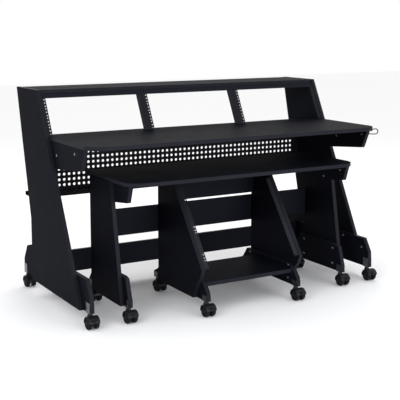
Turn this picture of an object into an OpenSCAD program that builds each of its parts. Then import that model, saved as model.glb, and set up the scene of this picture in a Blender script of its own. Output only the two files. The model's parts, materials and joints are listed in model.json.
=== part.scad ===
// Studio computer desk in three nested rolling units: a main desk with a raised
// rack bridge, a keyboard desk that rolls under it, and a rack cart inside that.
// Millimetres, +Z up, +X to the sitter's right, -Y towards the sitter.
// The origin is on the floor, midway between the main desk's foot boards.

/* [Boards] */
// Thickness of the side, foot, arm and divider boards
board_t = 19; // [15:1:22]
// Thickness of the two work surfaces and the top shelf
top_t = 17; // [15:1:22]
// Thickness of the cross panels and the cart's shelf
panel_t = 18; // [15:1:20]
// Corner radius of the work surfaces
corner_r = 80; // [10:1:90]

/* [Main desk] */
// Width over the side boards
main_w = 1540; // [1540:1:1640]
// Height of the side boards' top edge
main_h = 960; // [930:1:1000]
// Height of the desktop's upper face
desk_z = 762; // [750:1:770]
// Front edge of the desktop, measured from the middle of the foot boards
desk_front = -425; // [-460:1:-410]
// Rear edge of the desktop
desk_rear = 90; // [70:1:120]
// Half length of the main foot boards
main_foot_half = 392; // [380:1:410]
// Distance between the centre lines of the two rack dividers
bay_pitch = 507; // [500:1:510]

/* [Keyboard desk] */
// Width over the keyboard desk's side boards
key_w = 1194; // [1160:1:1240]
// Width of the keyboard top
key_top_w = 1184; // [1150:1:1200]
// Height of the keyboard top's upper face
key_z = 605; // [595:1:612]
// Front edge of the keyboard top
key_front = -460; // [-480:1:-440]
// Rear edge of the keyboard top
key_rear = -10; // [-30:1:0]

/* [Rack cart] */
// Width over the cart's side boards
cart_w = 534; // [530:1:540]
// Height of the cart's side boards
cart_h = 560; // [540:1:570]
// Height of the cart shelf's upper face
shelf_z = 140; // [130:1:150]

/* [Casters] */
// Height of the foot boards' lower edge, which the casters carry
foot_z = 66; // [66:1:72]
// Wheel radius
wheel_r = 26.5; // [24:0.5:28]
// Distance from the swivel axis forward to the axle
trail = 20; // [18:1:22]
// Width over a pair of wheels
pair_w = 50; // [44:1:52]

/* [Cable panel] */
// Distance between neighbouring holes
hole_pitch = 25; // [25:1:30]
// Hole diameter
hole_d = 12.5; // [8:0.5:16]

/* [Hidden] */
$fn = 48;
eps = 0.01;
stem_r = 5.5;
stem_up = 34;
stem_in = 24;
run_gap = 0.05;
axle_r = 3;
wheel_w = 19.5;
web_t = 8;
hood_r = wheel_r + 3.2;
hood_gap = 1.2;
hood_low = 19;
lever_reach = 13;
lever_r = hood_r + 4;
lever_angle = 28;
lever_pin_r = 1.6;

main_x = main_w / 2 - board_t;        // inner face of the main side boards
main_cx = main_x - board_t / 2;       // middle of the main foot boards
key_x = key_w / 2 - board_t;
key_cx = key_x - board_t / 2;
cart_x = cart_w / 2 - board_t;
cart_cx = cart_x - board_t / 2;

// Side profiles as [y, z]
main_top_front = 125;
main_top_rear = 380;
main_bottom_front = -325;
main_bottom_rear = 232;
main_waist_z = 360;
main_slope = (main_top_front - main_bottom_front) / (main_h - foot_z);
function main_edge(z) = main_top_front - (main_h - z) * main_slope;
main_profile = [[main_bottom_front, foot_z], [main_bottom_rear, foot_z],
                [main_bottom_rear, main_waist_z], [main_top_rear, main_h],
                [main_top_front, main_h]];
foot_h = 138;
main_foot_profile = [[-main_foot_half, foot_z], [main_foot_half, foot_z],
                     [main_foot_half, foot_z + 66], [348, foot_z + foot_h],
                     [268, foot_z + foot_h + 20], [238, 345], [185, 345],
                     [120, foot_z + foot_h], [-350, foot_z + foot_h],
                     [-main_foot_half + 4, foot_z + 76]];
main_arm_profile = [[-318, 652], [-360, desk_z - top_t], [180, desk_z - top_t],
                    [180, 627], [-62, 627]];

key_rear_edge = -55;
key_edge_top = -266;
key_edge_bottom = -358;
key_profile = [[key_edge_bottom, foot_z], [key_rear_edge, foot_z],
               [key_rear_edge, key_z - top_t], [key_edge_top, key_z - top_t]];
key_foot_front = -400;
key_foot_rear = 12;
key_foot_profile = [[key_foot_front, foot_z], [key_foot_rear, foot_z],
                    [key_foot_rear, 100], [-60, 192], [-350, 192], [-370, 186],
                    [key_foot_front + 2, 100]];
key_arm_profile = [[-394, 515], [-419, key_z - top_t], [key_rear_edge, key_z - top_t],
                   [key_rear_edge, 500], [-270, 500]];

cart_rear_edge = -76;
cart_edge_top = -215;
cart_tip = [-479, 202];
cart_slope = (cart_edge_top - cart_tip[0]) / (cart_h - cart_tip[1]);
function cart_edge(z) = cart_edge_top - (cart_h - z) * cart_slope;
cart_profile = [[cart_rear_edge, foot_z], [cart_rear_edge, cart_h],
                [cart_edge_top, cart_h], cart_tip, [-462, 167], [-437, 138],
                [-401, foot_z]];
cart_foot_front = -490;
cart_foot_rear = 5;
cart_foot_profile = [[cart_foot_front, foot_z], [cart_foot_rear, foot_z],
                     [cart_foot_rear, 92], [-36, 112], [-70, 158], [-415, 158],
                     [-461, 133], [cart_foot_front + 4, 104]];

// Rack rails: a folded steel strip, with the holes of the 19 inch standard
unit = 44.45;
rail_t = 2;
bay_clear = 451;                       // between the rails of a bay
rail_depth = 26;
rail_hole_r = 2.8;
rail_hole_x = 7;
main_tilt = atan(main_slope);
cart_tilt = atan(cart_slope);
main_rail_len = 4 * unit;
cart_rail_len = 9 * unit;
rail_back = 3;                         // how far the rails sit behind the board's front edge
main_rail_z = desk_z + 2;
top_rail_z = main_h - top_t - 1 - 20;
cart_rail_z = cart_tip[1] + 6;

// Cable panel
sheet_t = 1.5;
cable_y = 235;
cable_z0 = 448;
cable_z1 = 738;
tray_d = 118;
tray_lip = 18;
hole_rows = 8;
hole_z0 = cable_z0 + 28;
hole_half = 28;

// Caster brackets and bolts
bracket_l = 36;
bracket_in = 3;
bracket_t = 2;
bolt_r = 6;
bolt_h = 2.5;
bolt_len = 16;
caster_in = 23;                        // swivel axis from the foot board's end

main_caster_y = [-main_foot_half + caster_in, main_foot_half - caster_in];
key_caster_y = [key_foot_front + caster_in, key_foot_rear - caster_in];
cart_caster_y = [cart_foot_front + caster_in, cart_foot_rear - caster_in];

hook_reach = 826;

board_c = [0.13, 0.135, 0.15];
edge_c = [0.2, 0.205, 0.22];
steel_c = [0.55, 0.56, 0.6];
chrome_c = [0.8, 0.82, 0.85];
plastic_c = [0.09, 0.09, 0.1];

// ---------- shared shapes ----------

// A board cut to a [y, z] outline, from x = 0 to x = t
module side_board(profile, t = board_t) {
    rotate([90, 0, 90]) linear_extrude(t) polygon(profile);
}

// A board lying flat with rounded front corners
module flat_board(half_w, front, rear, t, r) {
    linear_extrude(t) union() {
        translate([-half_w, front + r]) square([2 * half_w, rear - front - r]);
        translate([-half_w + r, front]) square([2 * (half_w - r), r + eps]);
        for (s = [-1, 1]) translate([s * (half_w - r), front + r]) circle(r);
    }
}

// Copies the children to the right and mirrored to the left
module both_sides() {
    for (s = [0, 1]) mirror([s, 0, 0]) children();
}

// Bores for the caster stems in a foot board whose middle is at x
module stem_bores(x, ys) {
    for (y = ys) translate([x, y, foot_z - 1]) cylinder(r = stem_r + run_gap, h = stem_in + 2);
}

// One foot board on the right-hand side
module foot_board(x, profile, ys) {
    difference() {
        translate([x, 0, 0]) side_board(profile);
        stem_bores(x + board_t / 2, ys);
    }
}

// A cap bolt along +X with its washer-like head; the shank runs to -X
module cap_bolt(len) {
    rotate([0, 90, 0]) cylinder(r = bolt_r, h = bolt_h);
    translate([-len, 0, 0]) rotate([0, 90, 0]) cylinder(r = 2.5, h = len + eps);
}

// A steel channel under a foot board's end: a sole and two cheeks of height h.
// x is the board's middle, end is its end and dir is +1 when that end faces -Y
module end_bracket(x, end, dir, h) {
    translate([x, end, foot_z]) mirror([0, dir > 0 ? 0 : 1, 0]) difference() {
        translate([-board_t / 2 - bracket_t, bracket_in, -bracket_t])
            cube([board_t + 2 * bracket_t, bracket_l, h + bracket_t]);
        translate([-board_t / 2, bracket_in - 1, 0])
            cube([board_t, bracket_l + 2, h + 1]);
        translate([0, caster_in, -bracket_t - 1])
            cylinder(r = stem_r + run_gap, h = bracket_t + 2);
    }
}

// Four brackets of one unit
module brackets(x, front, rear, h) {
    both_sides() {
        end_bracket(x, front, 1, h);
        end_bracket(x, rear, -1, h);
    }
}

// A rack rail standing on z = 0: the drilled flange faces -Y and reaches to -X
// from the corner, and the leg runs back along +Y
module rack_rail(len, flange) {
    difference() {
        union() {
            translate([-flange, 0, 0]) cube([flange, rail_t, len]);
            translate([-rail_t, 0, 0]) cube([rail_t, rail_depth, len]);
        }
        for (u = [0 : round(len / unit) - 1])
            for (h = [6.35, 22.225, 38.1])
                translate([-flange + rail_hole_x, -1, u * unit + h])
                    rotate([-90, 0, 0]) cylinder(r = rail_hole_r, h = rail_t + 2, $fn = 24);
    }
}

// A pair of slanted rails, one at each side of an opening of half width half_x
module rail_pair(half_x, y, z, tilt, len, flange) {
    both_sides()
        translate([half_x, y, z]) rotate([-tilt, 0, 0]) rack_rail(len, flange);
}

// ---------- caster parts, in a frame with the swivel axis on Z and the floor at 0 ----------

// Swivelling housing: stem, collar, web between the wheels and hood over them
module caster_housing(brake) {
    difference() {
        union() {
            cylinder(r = stem_r, h = foot_z + stem_in);
            translate([0, 0, wheel_r + 18]) cylinder(r = 9.5, h = foot_z - bracket_t - 0.4 - wheel_r - 18);
            translate([0, -trail, wheel_r]) rotate([0, 90, 0]) {
                translate([0, 0, -web_t / 2]) cylinder(r = wheel_r - 3, h = web_t);
                translate([0, 0, -pair_w / 2 - 1]) cylinder(r = hood_r, h = pair_w + 2);
            }
            if (brake) lever_seat();
        }
        translate([0, -trail, wheel_r]) rotate([0, 90, 0]) {
            for (s = [-1, 1]) translate([0, 0, s * (pair_w / 4 + web_t / 4 + 0.5)])
                cylinder(r = wheel_r + hood_gap, h = pair_w / 2 - web_t / 2 + 1, center = true);
            cylinder(r = axle_r + run_gap, h = pair_w + 6, center = true);
        }
        // the hood stays open below, so that the wheels reach the floor
        translate([-pair_w, -trail - 2 * wheel_r, -wheel_r])
            cube([2 * pair_w, 4 * wheel_r, wheel_r + hood_low]);
        if (brake) lever_bore();
    }
}

// Tab on the housing's web that carries the brake lever's pin
module lever_seat() {
    translate([0, -trail, wheel_r]) rotate([-lever_angle, 0, 0]) {
        translate([-web_t / 2, -lever_r, -2.5]) cube([web_t, 8, 5]);
        translate([-web_t / 2, -lever_r, 0]) rotate([0, 90, 0]) cylinder(r = 3.5, h = web_t);
    }
}

module lever_bore() {
    translate([-web_t, -trail, wheel_r]) rotate([-lever_angle, 0, 0])
        translate([0, -lever_r, 0]) rotate([0, 90, 0])
            cylinder(r = lever_pin_r + run_gap, h = 2 * web_t);
}

// Foot-operated brake lever: two cheeks, a cross pin and a pedal
module caster_brake() {
    cheek_t = 2.4;
    gap = web_t / 2 + 0.4;
    translate([0, -trail, wheel_r]) rotate([-lever_angle, 0, 0])
        translate([0, -lever_r, 0]) rotate([lever_angle, 0, 0]) {
            for (s = [0, 1]) mirror([s, 0, 0]) {
                translate([gap, 0, 0]) rotate([0, 90, 0]) cylinder(r = 3.2, h = cheek_t);
                translate([gap, -lever_reach, 0]) cube([cheek_t, lever_reach, 3.2]);
            }
            translate([-gap - 1, 0, 0]) rotate([0, 90, 0])
                cylinder(r = lever_pin_r, h = 2 * gap + 2);
            translate([-9, -lever_reach, 0.2]) cube([18, lever_reach - 4.6, 3]);
        }
}

// A pair of wheels on their common axle
module caster_wheels() {
    translate([0, -trail, wheel_r]) rotate([0, 90, 0]) {
        cylinder(r = axle_r, h = pair_w - 8, center = true);
        for (s = [0, 1]) mirror([0, 0, s]) translate([0, 0, pair_w / 2 - wheel_w])
            rotate_extrude($fn = 64) polygon([
                [0, 0.4], [wheel_r - 2, 0.4], [wheel_r, 2.4], [wheel_r, wheel_w - 3.5],
                [wheel_r - 2.5, wheel_w - 1], [wheel_r - 6, wheel_w],
                [wheel_r - 7, wheel_w - 2.5], [8, wheel_w - 1], [6, wheel_w], [0, wheel_w]]);
    }
}

// Puts a caster part at one corner of a unit
module at_caster(x, y) {
    translate([x, y, 0]) children();
}

// ---------- main desk ----------

module main_side_left() {
    color(board_c) translate([-main_w / 2, 0, 0]) side_board(main_profile);
}

module main_side_right() {
    color(board_c) translate([main_x, 0, 0]) side_board(main_profile);
}

module main_feet() {
    color(board_c) both_sides()
        foot_board(main_x - board_t, main_foot_profile, main_caster_y);
}

module main_arms() {
    color(board_c) both_sides()
        translate([main_x - board_t, 0, 0]) side_board(main_arm_profile);
}

module desktop() {
    color(board_c) translate([0, 0, desk_z - top_t])
        flat_board(main_x - 1, desk_front, desk_rear, top_t, corner_r);
}

module top_shelf() {
    color(board_c)
        translate([-main_x, main_top_front + 2, main_h - top_t - 1])
            cube([2 * main_x, main_top_rear - main_top_front - 8, top_t]);
}

// Slanted rail below the top shelf's front edge
module top_rail() {
    z0 = top_rail_z;
    color(board_c) intersection() {
        translate([-main_x, 0, z0]) cube([2 * main_x, 300, 20]);
        translate([-main_x, main_edge(z0) + 4, z0]) rotate([-main_tilt, 0, 0])
            translate([0, 0, -20]) cube([2 * main_x, panel_t, 80]);
    }
}

// Slanted posts between the rack bays
module rack_dividers() {
    top = top_rail_z;
    color(board_c) both_sides()
        translate([bay_pitch / 2 - board_t / 2, 0, 0]) side_board([
            [main_edge(desk_z) + 2, desk_z], [main_edge(desk_z) + 46, desk_z],
            [main_edge(top) + 46, top], [main_edge(top) + 2, top]]);
}

module rack_rails() {
    y = main_edge(main_rail_z) + rail_back;
    inner = board_t / 2;
    end_flange = (main_x - bay_pitch / 2 - inner - bay_clear) / 2;
    mid_flange = (bay_pitch - board_t - bay_clear) / 2;
    color(steel_c) intersection() {
        translate([-main_w, -main_foot_half, desk_z])
            cube([2 * main_w, 2 * main_foot_half, top_rail_z - desk_z]);
        union() {
            rail_pair(main_x, y, main_rail_z, main_tilt, main_rail_len, end_flange);
            both_sides() translate([bay_pitch / 2, 0, 0]) {
                translate([-inner, y, main_rail_z]) rotate([-main_tilt, 0, 0])
                    rack_rail(main_rail_len, mid_flange);
                mirror([1, 0, 0]) translate([-inner, y, main_rail_z])
                    rotate([-main_tilt, 0, 0]) rack_rail(main_rail_len, end_flange);
            }
        }
    }
}

// Perforated steel sheet between the side boards
module cable_panel() {
    w = main_x - 1;
    color(board_c) difference() {
        translate([-w, cable_y, cable_z0]) cube([2 * w, sheet_t, cable_z1 - cable_z0]);
        for (i = [-hole_half : hole_half], j = [0 : hole_rows - 1])
            translate([i * hole_pitch, cable_y - 1, hole_z0 + j * hole_pitch])
                rotate([-90, 0, 0]) cylinder(d = hole_d, h = sheet_t + 2, $fn = 20);
    }
}

// Folded cable tray behind the lower edge of the perforated sheet
module cable_tray() {
    w = main_x - 1;
    front = cable_y + sheet_t;
    color(board_c) {
        translate([-w, front, cable_z0]) cube([2 * w, sheet_t, tray_lip]);
        translate([-w, front, cable_z0]) cube([2 * w, tray_d, sheet_t]);
        translate([-w, front + tray_d - sheet_t, cable_z0]) cube([2 * w, sheet_t, tray_lip]);
    }
}

module rear_panel() {
    color(board_c)
        translate([-main_x + board_t, main_bottom_rear - panel_t, 82])
            cube([2 * (main_x - board_t), panel_t, 104]);
}

// Bent wire hook with a foot plate, under the right end of the desktop
module headphone_hook() {
    wire_r = 2.5;
    y = -330;
    z = 724;
    loop_r = 12;
    x0 = main_x;
    x1 = hook_reach - loop_r - wire_r;
    color(chrome_c) {
        translate([x0, y - 12, z - 12]) cube([2, 24, 24]);
        for (s = [-1, 1]) translate([x0 + 1, y, z + s * 8])
            rotate([0, 90, 0]) cylinder(r = wire_r, h = x1 - x0 - 1 - (s > 0 ? 18 : 0));
        translate([x1, y, z + 4]) rotate([90, 0, 0]) intersection() {
            rotate_extrude($fn = 48) translate([loop_r, 0]) circle(wire_r, $fn = 24);
            translate([0, -loop_r - 2 * wire_r, -wire_r - 1])
                cube([loop_r + 2 * wire_r, 2 * loop_r + 4 * wire_r, 2 * wire_r + 2]);
        }
        translate([x1, y, z + 4 + loop_r]) rotate([0, -90, 0]) cylinder(r = wire_r, h = 10);
    }
}

module main_bolts() {
    inner = main_x - board_t;
    color(steel_c) both_sides() {
        for (p = [[-336, 157], [-193, 190], [-60, 110], [150, 190], [-313, 718], [-120, 690]])
            translate([inner, p[0], p[1]]) mirror([1, 0, 0]) cap_bolt(bolt_len);
        for (p = [[-260, 718], [-58, 687]])
            translate([main_x, p[0], p[1]]) cap_bolt(bolt_len);
    }
}

module main_brackets() {
    color(chrome_c) brackets(main_cx, -main_foot_half, main_foot_half, 44);
}

// ---------- keyboard desk ----------

module keyboard_top() {
    color(board_c) translate([0, 0, key_z - top_t])
        flat_board(key_top_w / 2, key_front, key_rear, top_t, corner_r);
}

module keyboard_side_left() {
    color(board_c) translate([-key_w / 2, 0, 0]) side_board(key_profile);
}

module keyboard_side_right() {
    color(board_c) translate([key_x, 0, 0]) side_board(key_profile);
}

module keyboard_feet() {
    color(board_c) both_sides()
        foot_board(key_x - board_t, key_foot_profile, key_caster_y);
}

module keyboard_arms() {
    color(board_c) both_sides()
        translate([key_x - board_t, 0, 0]) side_board(key_arm_profile);
}

module keyboard_panel() {
    color(board_c) translate([-key_x, key_rear_edge - panel_t, 300])
        cube([2 * key_x, panel_t, 123]);
}

module keyboard_bolts() {
    inner = key_x - board_t;
    color(steel_c) both_sides() {
        for (y = [-96, -326], z = [97, 171])
            translate([inner, y, z]) mirror([1, 0, 0]) cap_bolt(bolt_len);
        for (p = [[-246, 516], [-371, 562], [-110, 545]])
            translate([inner, p[0], p[1]]) mirror([1, 0, 0]) cap_bolt(bolt_len);
    }
}

module keyboard_brackets() {
    color(chrome_c) brackets(key_cx, key_foot_front, key_foot_rear, 34);
}

// ---------- rack cart ----------

module cart_sides() {
    color(board_c) both_sides() translate([cart_x, 0, 0]) side_board(cart_profile);
}

module cart_feet() {
    color(board_c) both_sides()
        foot_board(cart_x - board_t, cart_foot_profile, cart_caster_y);
}

module cart_panel() {
    color(board_c)
        translate([-cart_x, cart_rear_edge - panel_t, 440])
            cube([2 * cart_x, panel_t, cart_h - 440]);
}

module cart_shelf() {
    half = cart_x - board_t;
    color(board_c)
        translate([-half, -448, shelf_z - panel_t]) cube([2 * half, 310, panel_t]);
}

module cart_rails() {
    y = cart_edge(cart_rail_z) + rail_back;
    color(steel_c) rail_pair(cart_x, y, cart_rail_z, cart_tilt, cart_rail_len,
                             (2 * cart_x - bay_clear) / 2);
}

module cart_bolts() {
    inner = cart_x - board_t;
    color(steel_c) both_sides()
        for (p = [[-417, 151], [-417, 93], [-110, 93], [-100, 146]])
            translate([inner, p[0], p[1]]) mirror([1, 0, 0]) cap_bolt(bolt_len);
}

module cart_brackets() {
    color(chrome_c) brackets(cart_cx, cart_foot_front, cart_foot_rear, 26);
}

// ---------- casters ----------

module housing_at(x, y, brake) {
    color(plastic_c) at_caster(x, y) caster_housing(brake);
}

module wheels_at(x, y) {
    color(plastic_c) at_caster(x, y) caster_wheels();
}

module brake_at(x, y) {
    color(plastic_c) at_caster(x, y) caster_brake();
}

module main_fl_housing() { housing_at(-main_cx, main_caster_y[0], true); }
module main_fl_wheels() { wheels_at(-main_cx, main_caster_y[0]); }
module main_fl_brake() { brake_at(-main_cx, main_caster_y[0]); }
module main_fr_housing() { housing_at(main_cx, main_caster_y[0], true); }
module main_fr_wheels() { wheels_at(main_cx, main_caster_y[0]); }
module main_fr_brake() { brake_at(main_cx, main_caster_y[0]); }
module main_rl_housing() { housing_at(-main_cx, main_caster_y[1], false); }
module main_rl_wheels() { wheels_at(-main_cx, main_caster_y[1]); }
module main_rr_housing() { housing_at(main_cx, main_caster_y[1], false); }
module main_rr_wheels() { wheels_at(main_cx, main_caster_y[1]); }

module keyboard_fl_housing() { housing_at(-key_cx, key_caster_y[0], true); }
module keyboard_fl_wheels() { wheels_at(-key_cx, key_caster_y[0]); }
module keyboard_fl_brake() { brake_at(-key_cx, key_caster_y[0]); }
module keyboard_fr_housing() { housing_at(key_cx, key_caster_y[0], true); }
module keyboard_fr_wheels() { wheels_at(key_cx, key_caster_y[0]); }
module keyboard_fr_brake() { brake_at(key_cx, key_caster_y[0]); }
module keyboard_rl_housing() { housing_at(-key_cx, key_caster_y[1], false); }
module keyboard_rl_wheels() { wheels_at(-key_cx, key_caster_y[1]); }
module keyboard_rr_housing() { housing_at(key_cx, key_caster_y[1], false); }
module keyboard_rr_wheels() { wheels_at(key_cx, key_caster_y[1]); }

module cart_fl_housing() { housing_at(-cart_cx, cart_caster_y[0], true); }
module cart_fl_wheels() { wheels_at(-cart_cx, cart_caster_y[0]); }
module cart_fl_brake() { brake_at(-cart_cx, cart_caster_y[0]); }
module cart_fr_housing() { housing_at(cart_cx, cart_caster_y[0], true); }
module cart_fr_wheels() { wheels_at(cart_cx, cart_caster_y[0]); }
module cart_fr_brake() { brake_at(cart_cx, cart_caster_y[0]); }
module cart_rl_housing() { housing_at(-cart_cx, cart_caster_y[1], false); }
module cart_rl_wheels() { wheels_at(-cart_cx, cart_caster_y[1]); }
module cart_rr_housing() { housing_at(cart_cx, cart_caster_y[1], false); }
module cart_rr_wheels() { wheels_at(cart_cx, cart_caster_y[1]); }

main_side_left();
main_side_right();
main_feet();
main_arms();
desktop();
top_shelf();
top_rail();
rack_dividers();
rack_rails();
cable_panel();
cable_tray();
rear_panel();
headphone_hook();
main_bolts();
main_brackets();
keyboard_top();
keyboard_side_left();
keyboard_side_right();
keyboard_feet();
keyboard_arms();
keyboard_panel();
keyboard_bolts();
keyboard_brackets();
cart_sides();
cart_feet();
cart_panel();
cart_shelf();
cart_rails();
cart_bolts();
cart_brackets();
main_fl_housing();
main_fl_wheels();
main_fl_brake();
main_fr_housing();
main_fr_wheels();
main_fr_brake();
main_rl_housing();
main_rl_wheels();
main_rr_housing();
main_rr_wheels();
keyboard_fl_housing();
keyboard_fl_wheels();
keyboard_fl_brake();
keyboard_fr_housing();
keyboard_fr_wheels();
keyboard_fr_brake();
keyboard_rl_housing();
keyboard_rl_wheels();
keyboard_rr_housing();
keyboard_rr_wheels();
cart_fl_housing();
cart_fl_wheels();
cart_fl_brake();
cart_fr_housing();
cart_fr_wheels();
cart_fr_brake();
cart_rl_housing();
cart_rl_wheels();
cart_rr_housing();
cart_rr_wheels();
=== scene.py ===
"""Looks of the studio desk: softened boards, coated and plated steel, and casters."""

import json
import math

import bmesh
import bpy
from mathutils import Matrix, Vector


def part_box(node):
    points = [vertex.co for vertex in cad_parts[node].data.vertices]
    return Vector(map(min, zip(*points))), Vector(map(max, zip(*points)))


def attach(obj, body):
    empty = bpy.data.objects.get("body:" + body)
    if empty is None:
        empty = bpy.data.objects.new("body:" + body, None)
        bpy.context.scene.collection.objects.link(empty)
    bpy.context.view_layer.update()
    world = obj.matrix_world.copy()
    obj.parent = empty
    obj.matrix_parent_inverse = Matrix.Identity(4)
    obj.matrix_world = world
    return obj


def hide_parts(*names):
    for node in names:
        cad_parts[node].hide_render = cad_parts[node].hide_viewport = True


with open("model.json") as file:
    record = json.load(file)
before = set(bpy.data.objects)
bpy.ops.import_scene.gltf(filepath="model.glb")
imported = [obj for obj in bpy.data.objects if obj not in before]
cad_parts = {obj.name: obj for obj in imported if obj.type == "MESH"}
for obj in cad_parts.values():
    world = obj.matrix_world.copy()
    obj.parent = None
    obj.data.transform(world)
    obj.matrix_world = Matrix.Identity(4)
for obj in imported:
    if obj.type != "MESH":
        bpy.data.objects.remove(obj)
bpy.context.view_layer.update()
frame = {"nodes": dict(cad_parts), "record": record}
NODES = frame["nodes"]
BODY_OF = {
    node: body
    for body, members in frame["record"]["behaviour"]["bodies"].items()
    for node in members
}


# ---------- materials ----------


def new_material(name):
    """A new node material, its node tree and its shader."""
    material = bpy.data.materials.new(name)
    material.use_nodes = True
    tree = material.node_tree
    shader = tree.nodes["Principled BSDF"]
    return material, tree, shader


def add(tree, kind, **values):
    """Adds a node; values set its inputs by name, or its own properties."""
    node = tree.nodes.new(kind)
    for key, value in values.items():
        if key in node.inputs:
            node.inputs[key].default_value = value
        else:
            setattr(node, key, value)
    return node


def coordinates(tree, scale=(1, 1, 1)):
    """Object coordinates in metres, stretched by scale."""
    source = add(tree, "ShaderNodeTexCoord")
    mapping = add(tree, "ShaderNodeMapping")
    mapping.inputs["Scale"].default_value = scale
    tree.links.new(source.outputs["Object"], mapping.inputs["Vector"])
    return mapping.outputs["Vector"]


def noise(tree, vector, scale, detail=3.0, roughness=0.5):
    node = add(tree, "ShaderNodeTexNoise")
    node.inputs["Scale"].default_value = scale
    node.inputs["Detail"].default_value = detail
    node.inputs["Roughness"].default_value = roughness
    tree.links.new(vector, node.inputs["Vector"])
    return node.outputs["Fac"]


def remap(tree, value, low, high, out_low, out_high):
    node = add(tree, "ShaderNodeMapRange")
    for key, number in (
        ("From Min", low),
        ("From Max", high),
        ("To Min", out_low),
        ("To Max", out_high),
    ):
        node.inputs[key].default_value = number
    tree.links.new(value, node.inputs["Value"])
    return node.outputs["Result"]


def blend_colours(tree, factor, dark, light):
    node = add(tree, "ShaderNodeMix", data_type="RGBA")
    node.inputs["A"].default_value = (*dark, 1)
    node.inputs["B"].default_value = (*light, 1)
    tree.links.new(factor, node.inputs["Factor"])
    return node.outputs["Result"]


def bump(tree, shader, height, strength, distance, under=None):
    node = add(tree, "ShaderNodeBump")
    node.inputs["Strength"].default_value = strength
    node.inputs["Distance"].default_value = distance
    tree.links.new(height, node.inputs["Height"])
    if under:
        tree.links.new(under, node.inputs["Normal"])
    tree.links.new(node.outputs["Normal"], shader.inputs["Normal"])
    return node.outputs["Normal"]


def laminate(name, dark, light, rough, gloss):
    """Black melamine board: a fine pressed pore texture with a faint cloudy sheen."""
    material, tree, shader = new_material(name)
    here = coordinates(tree)
    pores = noise(tree, here, 900.0, 2.0, 0.6)
    speck = noise(tree, here, 2400.0, 1.0)
    tone = remap(tree, noise(tree, here, 3.1, 4.0), 0.3, 0.7, 0.0, 1.0)
    base = blend_colours(tree, tone, dark, light)
    fleck = add(tree, "ShaderNodeMix", data_type="RGBA", blend_type="MULTIPLY")
    fleck.inputs["Factor"].default_value = 0.35
    tree.links.new(base, fleck.inputs["A"])
    tree.links.new(
        blend_colours(tree, remap(tree, pores, 0.35, 0.6, 0, 1), (0.6,) * 3, (1, 1, 1)),
        fleck.inputs["B"],
    )
    tree.links.new(fleck.outputs["Result"], shader.inputs["Base Color"])
    tree.links.new(
        remap(tree, noise(tree, here, 14.0, 3.0), 0.3, 0.7, *rough),
        shader.inputs["Roughness"],
    )
    first = bump(tree, shader, pores, 0.25, 0.00012)
    bump(tree, shader, speck, 0.12, 0.00006, first)
    shader.inputs["Specular IOR Level"].default_value = gloss
    return material


def powder_coat(name, colour, rough):
    """Steel with a satin powder coat: orange peel over a faintly clouded colour."""
    material, tree, shader = new_material(name)
    here = coordinates(tree)
    peel_height = noise(tree, here, 700.0, 2.0)
    lighter = tuple(c * 1.8 + 0.002 for c in colour)
    cloud = remap(tree, noise(tree, here, 9.0), 0.3, 0.7, 0, 0.5)
    tree.links.new(
        blend_colours(tree, cloud, colour, lighter), shader.inputs["Base Color"]
    )
    tree.links.new(
        remap(tree, noise(tree, here, 40.0), 0.3, 0.7, rough - 0.06, rough + 0.08),
        shader.inputs["Roughness"],
    )
    bump(tree, shader, peel_height, 0.35, 0.0001)
    shader.inputs["Specular IOR Level"].default_value = 0.12
    return material


def plated_steel(name, colour):
    """Plated steel with fine hairline scratches."""
    material, tree, shader = new_material(name)
    lines = noise(tree, coordinates(tree, (1, 1, 60)), 300.0, 2.0)
    here = coordinates(tree)
    shader.inputs["Metallic"].default_value = 1.0
    tone = remap(tree, noise(tree, here, 60.0), 0.3, 0.7, 0, 1)
    dim = tuple(c * 0.86 for c in colour)
    tree.links.new(blend_colours(tree, tone, dim, colour), shader.inputs["Base Color"])
    tree.links.new(
        remap(tree, lines, 0.3, 0.7, 0.14, 0.3), shader.inputs["Roughness"]
    )
    bump(tree, shader, lines, 0.08, 0.00005)
    return material


def moulded(name, colour, rough, gloss):
    """Injection-moulded plastic with a fine spark-eroded texture."""
    material, tree, shader = new_material(name)
    here = coordinates(tree)
    texture = noise(tree, here, 1400.0, 2.0)
    lighter = tuple(c * 1.5 + 0.004 for c in colour)
    scuffs = remap(tree, noise(tree, here, 120.0, 4.0, 0.7), 0.45, 0.75, 0, 1)
    tree.links.new(
        blend_colours(tree, scuffs, colour, lighter), shader.inputs["Base Color"]
    )
    tree.links.new(
        remap(tree, noise(tree, here, 70.0), 0.3, 0.7, rough - 0.07, rough + 0.1),
        shader.inputs["Roughness"],
    )
    bump(tree, shader, texture, 0.2, 0.00008)
    shader.inputs["Specular IOR Level"].default_value = gloss
    return material


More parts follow.
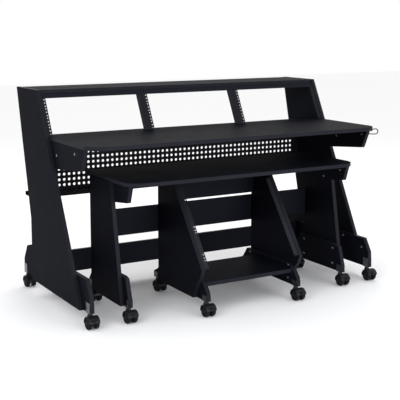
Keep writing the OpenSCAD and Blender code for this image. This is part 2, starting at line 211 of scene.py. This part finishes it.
MATERIALS = {
    "board": laminate(
        "board_laminate", (0.0040, 0.0044, 0.0074), (0.0048, 0.0053, 0.0086), (0.56, 0.6), 0.02
    ),
    # Painted light: the cross panels are the same black board, given this lighter copy because their
    # front faces get little lamp light.
    "panel": laminate(
        "painted_light_panel_laminate", (0.0090, 0.0097, 0.0142), (0.0105, 0.0113, 0.0162), (0.56, 0.6), 0.04
    ),
    # Painted highlight: the edge faces get a lighter copy of the black laminate, standing for the
    # light caught along the board edges.
    "painted_edge_highlight": laminate(
        "painted_edge_highlight", (0.0105, 0.011, 0.0155), (0.013, 0.0137, 0.019), (0.46, 0.54), 0.06
    ),
    "rail_steel": powder_coat("rail_powder_coat", (0.006, 0.0062, 0.0085), 0.5),
    "cart_rail_steel": powder_coat("cart_rail_coat", (0.012, 0.0125, 0.016), 0.42),
    "sheet_steel": powder_coat("panel_powder_coat", (0.003, 0.0032, 0.0052), 0.55),
    "bolt_steel": plated_steel("bolt_zinc", (0.2, 0.2, 0.22)),
    # Painted light: the brackets are one steel. The main desk's copy is lighter as a painted glint
    # from the left lamp, and the keyboard and cart copy is darker as painted shade.
    "lit_bracket_steel": plated_steel("lit_bracket_steel", (0.13, 0.132, 0.145)),
    "shaded_bracket_steel": plated_steel("shaded_bracket_steel", (0.05, 0.051, 0.058)),
    "wire_chrome": plated_steel("wire_chrome", (0.04, 0.04, 0.045)),
    "caster_plastic": moulded("caster_housing_plastic", (0.006, 0.0062, 0.008), 0.36, 0.16),
    "wheel_nylon": moulded("wheel_nylon", (0.005, 0.0052, 0.0066), 0.46, 0.1),
    "brake_plastic": moulded("brake_plastic", (0.007, 0.0072, 0.009), 0.4, 0.16),
}


# ---------- pieces ----------

MM = 0.001
SMOOTH_ANGLE = 32
BOARD_ROUND = 0.9 * MM
STEEL_ROUND = 0.5 * MM
LEVER_ROUND = 0.35 * MM
SAME_PLACE = 1e-6
TOP_BAND = 0.5 * MM
BOLT_HEAD = 2.5 * MM
WIRE_R = 2.5 * MM


def dress(obj, node, finish):
    """The piece moves with the CAD node's body, stands for it and takes its finish."""
    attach(obj, BODY_OF[node])
    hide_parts(node)
    obj.data.materials.clear()
    obj.data.materials.append(MATERIALS[finish])
    return obj


def smooth(mesh, angle=SMOOTH_ANGLE):
    mesh.shade_smooth()
    mesh.set_sharp_from_angle(angle=math.radians(angle))


def object_from(mesh, name):
    """Turns a bmesh into an object of the scene."""
    bmesh.ops.recalc_face_normals(mesh, faces=mesh.faces)
    data = bpy.data.meshes.new(name)
    mesh.to_mesh(data)
    mesh.free()
    smooth(data)
    obj = bpy.data.objects.new(name, data)
    bpy.context.scene.collection.objects.link(obj)
    return obj


def bake(obj):
    """Applies the piece's modifiers to its mesh."""
    bpy.context.view_layer.update()
    graph = bpy.context.evaluated_depsgraph_get()
    baked = bpy.data.meshes.new_from_object(obj.evaluated_get(graph))
    obj.modifiers.clear()
    obj.data = baked


def bevel(obj, width, angle=30):
    modifier = obj.modifiers.new("edges", "BEVEL")
    modifier.width = width
    modifier.segments = 2
    modifier.limit_method = "ANGLE"
    modifier.angle_limit = math.radians(angle)
    modifier.harden_normals = True
    bake(obj)


def soften(node, width):
    """A copy of the CAD node with its facets joined and its edges rounded."""
    obj = bpy.data.objects.new("shown_" + node, NODES[node].data.copy())
    bpy.context.scene.collection.objects.link(obj)
    mesh = bmesh.new()
    mesh.from_mesh(obj.data)
    bmesh.ops.remove_doubles(mesh, verts=mesh.verts, dist=SAME_PLACE)
    bmesh.ops.dissolve_limit(
        mesh, angle_limit=math.radians(1), verts=mesh.verts, edges=mesh.edges
    )
    mesh.to_mesh(obj.data)
    mesh.free()
    if "custom_normal" in obj.data.attributes:
        obj.data.attributes.remove(obj.data.attributes["custom_normal"])
    smooth(obj.data)
    bevel(obj, width)
    return obj


def board(node, is_edge):
    """A softened board with a lighter laminate as painted highlight on the faces that is_edge picks.

    A cross panel has no is_edge, and is all of one laminate: a lighter copy of the board laminate,
    as painted light on its dimly lit front faces."""
    # Cross panels take the lighter panel laminate, which is painted light.
    obj = dress(soften(node, BOARD_ROUND), node, "board" if is_edge else "panel")
    if is_edge:
        # The edge faces take the lighter laminate, a painted highlight.
        obj.data.materials.append(MATERIALS["painted_edge_highlight"])
        for face in obj.data.polygons:
            face.material_index = 1 if is_edge(face.normal) else 0


def upright_edge(normal):
    return abs(normal.x) < 0.7


def flat_edge(normal):
    return abs(normal.z) < 0.7


SIDE_BOARDS = (
    "main_side_left", "main_side_right", "main_feet", "main_arms", "rack_dividers",
    "keyboard_side_left", "keyboard_side_right", "keyboard_feet", "keyboard_arms",
    "cart_sides", "cart_feet",
)
FLAT_BOARDS = ("desktop", "top_shelf", "keyboard_top", "cart_shelf")
CROSS_BOARDS = ("top_rail", "rear_panel", "keyboard_panel", "cart_panel")


def revolve(mesh, profile, place, start=0.0, end=360.0, steps=40, hexed=()):
    """Turns a closed profile of (along, radius) in mm about the X axis of place.

    The angle counts from -Y over +Z. The profile points listed in hexed follow a
    hexagon in place of a circle."""
    full = abs(end - start - 360) < 1e-6
    rings = []
    for i in range(steps if full else steps + 1):
        degrees = start + (end - start) * i / steps
        angle = math.radians(degrees)
        corner = 1 / math.cos(math.radians((degrees % 60) - 30))
        ring = []
        for k, (along, radius) in enumerate(profile):
            r = radius * (corner if k in hexed else 1) * MM
            point = Vector((along * MM, -r * math.cos(angle), r * math.sin(angle)))
            ring.append(mesh.verts.new(place @ point))
        rings.append(ring)
    for i in range(steps):
        one, two = rings[i], rings[(i + 1) % len(rings)]
        for k in range(len(profile)):
            j = (k + 1) % len(profile)
            mesh.faces.new((one[k], one[j], two[j], two[k]))
    if not full:
        mesh.faces.new(rings[0])
        mesh.faces.new(rings[-1])


def slab(mesh, outline, x0, x1, place):
    """A plate from x0 to x1 in mm with a (y, z) outline in mm."""
    low = [mesh.verts.new(place @ Vector((x0 * MM, y * MM, z * MM))) for y, z in outline]
    high = [mesh.verts.new(place @ Vector((x1 * MM, y * MM, z * MM))) for y, z in outline]
    mesh.faces.new(low)
    mesh.faces.new(high)
    for k in range(len(outline)):
        j = (k + 1) % len(outline)
        mesh.faces.new((low[k], low[j], high[j], high[k]))


def islands(node):
    """Of each separate solid of a CAD node: its lowest and highest corner, and the
    middle of its highest points along X, which lie on a bolt's head."""
    mesh = bmesh.new()
    mesh.from_mesh(NODES[node].data)
    bmesh.ops.remove_doubles(mesh, verts=mesh.verts, dist=SAME_PLACE)
    left, boxes = set(mesh.verts), []
    while left:
        stack = [left.pop()]
        group = list(stack)
        while stack:
            for edge in stack.pop().link_edges:
                for vert in edge.verts:
                    if vert in left:
                        left.discard(vert)
                        stack.append(vert)
                        group.append(vert)
        axes = [[v.co[a] for v in group] for a in range(3)]
        heads = [v for v in group if v.co.z > max(axes[2]) - TOP_BAND]
        boxes.append((
            Vector([min(a) for a in axes]), Vector([max(a) for a in axes]),
            sum(v.co.x for v in heads) / len(heads),
        ))
    mesh.free()
    boxes.sort(key=lambda b: tuple(round(c, 4) for c in b[0]))
    return boxes


BOLT_PROFILE = (
    (-0.4, 0.2), (-0.4, 6.0), (0.5, 6.2), (1.3, 5.7), (2.0, 4.8), (2.4, 3.7),
    (2.45, 2.9), (2.3, 2.55), (0.7, 2.45), (0.5, 0.2),
)


def bolts(node):
    """Button-head bolts with hexagon sockets in place of the plain CAD heads."""
    mesh = bmesh.new()
    for low, high, head_x in islands(node):
        centre = (low + high) / 2
        outward = 1 if head_x > centre.x else -1
        seat = high.x - BOLT_HEAD if outward > 0 else low.x + BOLT_HEAD
        place = Matrix.Translation((seat, centre.y, centre.z))
        if outward < 0:
            place = place @ Matrix.Rotation(math.pi, 4, "Z")
        revolve(mesh, BOLT_PROFILE, place, steps=36, hexed=(7, 8))
        revolve(mesh, ((-12, 0.2), (-12, 2.3), (-0.4, 2.3), (-0.4, 0.2)), place, steps=12)
    dress(object_from(mesh, "shown_" + node), node, "bolt_steel")


# Caster sizes in mm, as in the CAD nodes
TRAIL = 20
AXLE_Z = 26.5
STEM_R = 5.5
STEM_TOP = 90
WEB_HALF = 4
WEB_R = 28.5
WEB_STEPS = 40
LEVER_T = 3.2
# The hood's lower ends in degrees, counted from the front over the top
HOOD_FROM, HOOD_TO = 10, 188
# Profiles of (along the axle, radius) in mm
WHEEL_PROFILE = (
    (6.0, 3.3), (6.0, 21.0), (6.8, 23.3), (8.6, 25.3), (11.4, 26.5), (18.6, 26.5),
    (21.8, 25.4), (23.9, 23.8), (24.8, 22.3), (24.4, 21.3), (23.0, 20.9), (21.4, 20.3), (21.0, 19.0),
    (21.0, 12.0), (21.6, 10.6), (23.4, 9.6), (24.4, 8.6), (24.6, 7.0), (25.0, 6.2),
    (25.0, 0.3), (6.6, 0.3),
)
HOOD_PROFILE = (
    (-26.0, 26.8), (-25.8, 28.2), (-25.0, 29.2), (-23.4, 29.7), (-8.0, 29.7),
    (8.0, 29.7), (23.4, 29.7), (25.0, 29.2), (25.8, 28.2), (26.0, 26.8),
    (25.2, 27.0), (24.6, 27.5), (23.0, 27.8), (-23.0, 27.8), (-24.6, 27.5), (-25.2, 27.0),
)


def caster_place(node):
    """The frame of a caster: its axle's middle, X to the right and Z up."""
    low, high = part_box(node)
    return Matrix.Translation(((low.x + high.x) / 2, (low.y + high.y) / 2, AXLE_Z * MM))


def caster_wheels(node):
    """Twin wheels with a rounded tread, a recessed disc, ribs and a hub cap."""
    place = caster_place(node)
    mesh = bmesh.new()
    for side in (0, 1):
        turned = place @ Matrix.Rotation(math.pi * side, 4, "Z")
        revolve(mesh, WHEEL_PROFILE, turned, steps=56)
        for k in range(8):
            rib = turned @ Matrix.Rotation(math.radians(45 * k + 10), 4, "X")
            slab(mesh, ((-0.9, 9.5), (0.9, 9.5), (0.7, 20.5), (-0.7, 20.5)), 20.8, 22.4, rib)
    revolve(mesh, ((-6, 0.3), (-6, 2.95), (6, 2.95), (6, 0.3)), place, steps=24)
    dress(object_from(mesh, "shown_" + node), node, "wheel_nylon")


def caster_housing(node, wheels):
    """Hood, web between the wheels, collar and stem."""
    place = caster_place(wheels)
    brake = node.replace("_housing", "_brake") in NODES
    mesh = bmesh.new()
    revolve(mesh, HOOD_PROFILE, place, start=HOOD_FROM, end=HOOD_TO, steps=48)
    web = []
    for k in range(WEB_STEPS + 1):
        angle = math.radians(HOOD_FROM + (HOOD_TO - HOOD_FROM) * k / WEB_STEPS)
        web.append((-WEB_R * math.cos(angle), WEB_R * math.sin(angle)))
    web += [(14, -5.5), (4, -5.9), (-4, -5.9), (-14, -1.5)]
    slab(mesh, web, -WEB_HALF, WEB_HALF, place)
    upright = place @ Matrix.Translation((0, TRAIL * MM, 0)) @ Matrix.Rotation(
        -math.pi / 2, 4, "Y"
    )
    collar = (
        (6, 0.3), (6, 13.5), (20, 13.5), (27, 12.4), (30.5, 10.6), (33.5, 9.7), (35.9, 9.5),
        (36.7, 9.0), (37.1, 8.2), (37.1, STEM_R), (STEM_TOP - AXLE_Z - 1, STEM_R),
        (STEM_TOP - AXLE_Z, STEM_R - 1), (STEM_TOP - AXLE_Z, 0.3),
    )
    revolve(mesh, collar, upright, steps=40)
    if brake:
        lever_seat = ((-33, 10.5), (-25.5, 8.5), (-25.5, 18), (-32, 19.5))
        slab(mesh, lever_seat, -WEB_HALF, WEB_HALF, place)
    obj = object_from(mesh, "shown_" + node)
    bevel(obj, STEEL_ROUND, 40)
    dress(obj, node, "caster_plastic")


def caster_brake(node):
    """A curved pedal with grip ribs on two cheeks."""
    low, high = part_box(node)
    pin = ((low.x + high.x) / 2, high.y - LEVER_T * MM, low.z + LEVER_T * MM)
    place = Matrix.Translation(pin)
    mesh = bmesh.new()
    cheek = (
        (2.6, -1.2), (1.4, -2.9), (-1.0, -3.1), (-7, -1.0), (-13, 0.2), (-13, 2.6),
        (-6, 3.1), (0.6, 3.1), (2.4, 1.6),
    )
    for x0, x1 in ((-6.8, -4.4), (4.4, 6.8)):
        slab(mesh, cheek, x0, x1, place)
    pedal = ((-4.7, 0.4), (-9, 0.2), (-13, 0.6), (-13.0, 2.8), (-9, 3.1), (-4.7, 3.1))
    slab(mesh, pedal, -9, 9, place)
    for y in (-6.6, -8.8, -11.0):
        rib = ((y - 0.5, 2.9), (y + 0.5, 2.9), (y + 0.3, 3.35), (y - 0.3, 3.35))
        slab(mesh, rib, -7.6, 7.6, place)
    revolve(mesh, ((-5, 0.2), (-5, 1.6), (5, 1.6), (5, 0.2)), place, steps=20)
    obj = object_from(mesh, "shown_" + node)
    bevel(obj, LEVER_ROUND, 40)
    dress(obj, node, "brake_plastic")


def wire_hook(node):
    """The bent wire of the headphone hook, on its round foot plate."""
    low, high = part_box(node)
    plate_x, wire_y = low.x, (low.y + high.y) / 2
    right, top, bottom = high.x - WIRE_R, high.z - WIRE_R, low.z + WIRE_R
    middle = (top + bottom) / 2
    points = [
        (plate_x, bottom + 4 * MM), (right - 30 * MM, bottom + 1 * MM),
        (right - 12 * MM, bottom), (right - 3 * MM, bottom + 4 * MM),
        (right, middle), (right - 4 * MM, top - 4 * MM), (right - 14 * MM, top),
        (right - 30 * MM, top), (right - 38 * MM, top - 3 * MM), (right - 41 * MM, top - 11 * MM),
    ]
    curve = bpy.data.curves.new("wire", "CURVE")
    curve.dimensions = "3D"
    spline = curve.splines.new("NURBS")
    spline.points.add(len(points) - 1)
    for point, (x, z) in zip(spline.points, points):
        point.co = (x, wire_y, z, 1)
    spline.order_u = 3
    spline.use_endpoint_u = True
    curve.resolution_u = 8
    curve.bevel_depth = WIRE_R
    curve.bevel_resolution = 6
    curve.use_fill_caps = True
    wire = bpy.data.objects.new("wire", curve)
    bpy.context.scene.collection.objects.link(wire)
    bpy.context.view_layer.update()
    graph = bpy.context.evaluated_depsgraph_get()
    mesh = bmesh.new()
    mesh.from_mesh(bpy.data.meshes.new_from_object(wire.evaluated_get(graph)))
    bpy.data.objects.remove(wire)
    plate = Matrix.Translation((plate_x, wire_y, middle))
    revolve(mesh, ((0, 0.2), (0, 12), (1.2, 12), (2, 11.2), (2, 0.2)), plate, steps=40)
    dress(object_from(mesh, "shown_" + node), node, "wire_chrome")


for node in SIDE_BOARDS:
    board(node, upright_edge)
for node in FLAT_BOARDS:
    board(node, flat_edge)
for node in CROSS_BOARDS:
    board(node, None)
for node, finish in (
    ("rack_rails", "rail_steel"),
    ("cart_rails", "cart_rail_steel"),
    ("cable_panel", "sheet_steel"),
    ("cable_tray", "sheet_steel"),
):
    NODES[node].data.materials.clear()
    NODES[node].data.materials.append(MATERIALS[finish])
# The main brackets take the lighter steel as a painted glint, and the others take the darker steel
# as painted shade.
dress(soften("main_brackets", STEEL_ROUND), "main_brackets", "lit_bracket_steel")
for node in ("keyboard_brackets", "cart_brackets"):
    dress(soften(node, STEEL_ROUND), node, "shaded_bracket_steel")
for node in ("main_bolts", "keyboard_bolts", "cart_bolts"):
    bolts(node)
wire_hook("headphone_hook")
for node in sorted(NODES):
    if node.endswith("_wheels"):
        caster_wheels(node)
    elif node.endswith("_housing"):
        caster_housing(node, node.replace("_housing", "_wheels"))
    elif node.endswith("_brake"):
        caster_brake(node)


# ---------- floor, light and camera ----------


FLOOR_HALF = 14.0
# Area lights: name, place, target, size in metres, watts and colour
LIGHTS = (
    ("key_left", (-4.2, -2.6, 2.6), (0, 0, 0.5), (2.6, 2.6), 90, (0.93, 0.95, 1)),
    ("top_rear", (1.2, 2.6, 3.4), (0, 0, 0.7), (3.2, 1.6), 40, (1, 1, 1)),
    ("front_fill", (0.8, -4.4, 1.3), (0, 0, 0.4), (3.0, 1.6), 80, (0.94, 0.96, 1)),
)
CAMERA_PLACE = (-2.244, -3.8548, 1.2694)
CAMERA_PITCH = 81.508
CAMERA_TURN = -30.233
CAMERA_LENS = 84.55
CAMERA_SHIFT = -0.1


def stage_floor():
    mesh = bpy.data.meshes.new("floor")
    half = FLOOR_HALF
    mesh.from_pydata(
        [(-half, -half, 0), (half, -half, 0), (half, half, 0), (-half, half, 0)],
        [],
        [(0, 1, 2, 3)],
    )
    floor = bpy.data.objects.new("floor", mesh)
    bpy.context.scene.collection.objects.link(floor)
    material, tree, shader = new_material("floor_paper")
    shader.inputs["Roughness"].default_value = 0.9
    shader.inputs["Specular IOR Level"].default_value = 0.1
    tone = remap(tree, noise(tree, coordinates(tree), 2.0), 0, 1, 0, 1)
    tree.links.new(
        blend_colours(tree, tone, (0.93, 0.93, 0.935), (0.95, 0.95, 0.955)),
        shader.inputs["Base Color"],
    )
    mesh.materials.append(material)


def area_light(name, location, target, size, power, colour):
    data = bpy.data.lights.new(name, "AREA")
    data.shape = "RECTANGLE"
    data.size, data.size_y = size
    data.energy = power
    data.color = colour
    light = bpy.data.objects.new(name, data)
    light.location = location
    light.rotation_euler = (
        (Vector(target) - Vector(location)).to_track_quat("-Z", "Y").to_euler()
    )
    bpy.context.scene.collection.objects.link(light)


def studio():
    world = bpy.data.worlds.new("studio")
    bpy.context.scene.world = world
    world.use_nodes = True
    background = world.node_tree.nodes["Background"]
    background.inputs["Color"].default_value = (1, 1, 1, 1)
    background.inputs["Strength"].default_value = 1.0
    for light in LIGHTS:
        area_light(*light)


def camera():
    data = bpy.data.cameras.new("camera")
    data.sensor_width = 36
    data.lens = CAMERA_LENS
    data.shift_y = CAMERA_SHIFT
    data.clip_end = 100
    cam = bpy.data.objects.new("camera", data)
    cam.location = CAMERA_PLACE
    cam.rotation_euler = (math.radians(CAMERA_PITCH), 0, math.radians(CAMERA_TURN))
    bpy.context.scene.collection.objects.link(cam)
    bpy.context.scene.camera = cam


stage_floor()
studio()
camera()
bpy.context.scene.view_settings.view_transform = "Standard"
